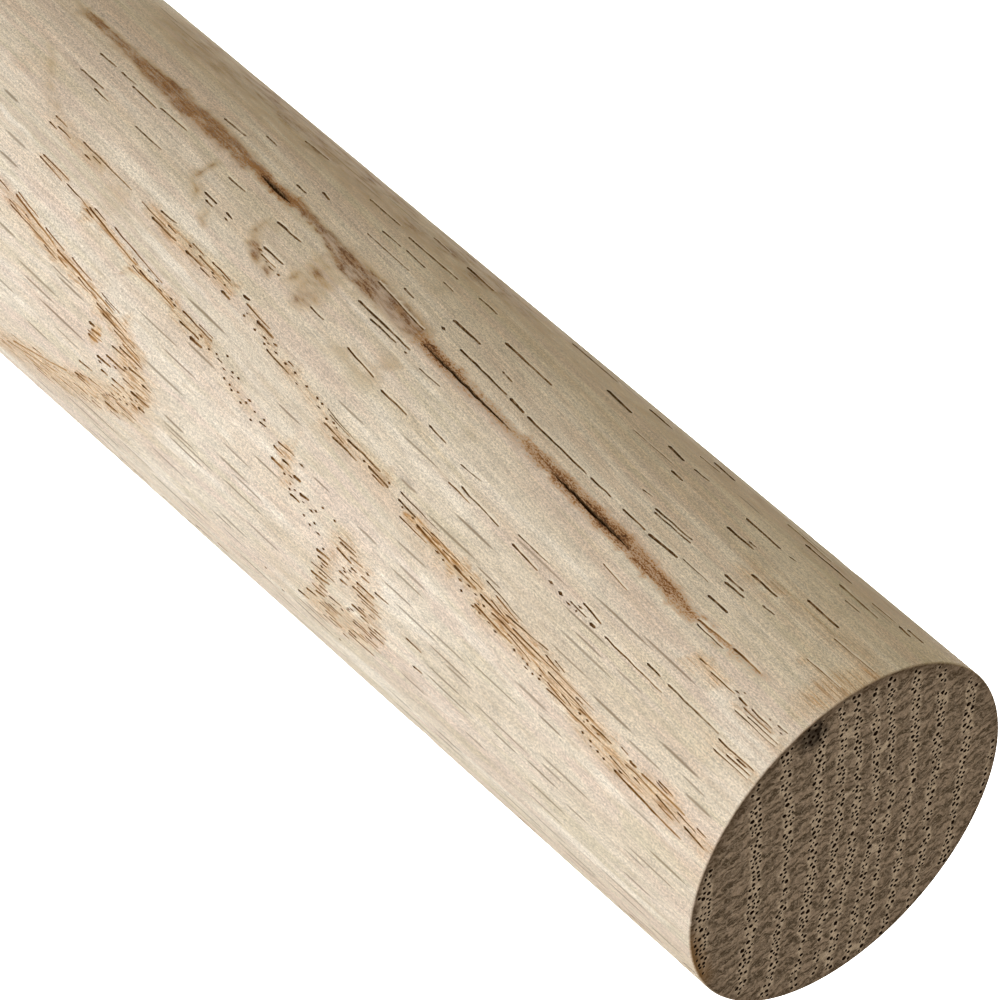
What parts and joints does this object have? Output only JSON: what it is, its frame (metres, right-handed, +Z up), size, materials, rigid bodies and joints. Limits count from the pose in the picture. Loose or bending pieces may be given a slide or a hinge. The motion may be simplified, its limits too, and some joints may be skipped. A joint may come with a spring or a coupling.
{
  "type": "wooden dowel rod",
  "caption": "Straight round rod of solid oak with square-cut ends, for use as a dowel, peg, spindle or rail.",
  "frame": {"origin": "middle of the lower end, on the rod's axis", "axes": "+Z up along the rod's axis, from the lower end to the upper end; the drying cracks in the side lie at azimuths -112 to -126 degrees from +X"},
  "size_m": [0.0317, 0.0318, 0.3048],
  "materials": {
    "oak": "bare sanded sides with open pores, saw-cut end grain"
  },
  "bodies": {
    "root": {"dowel_rod": "oak"}
  },
  "joints": []
}
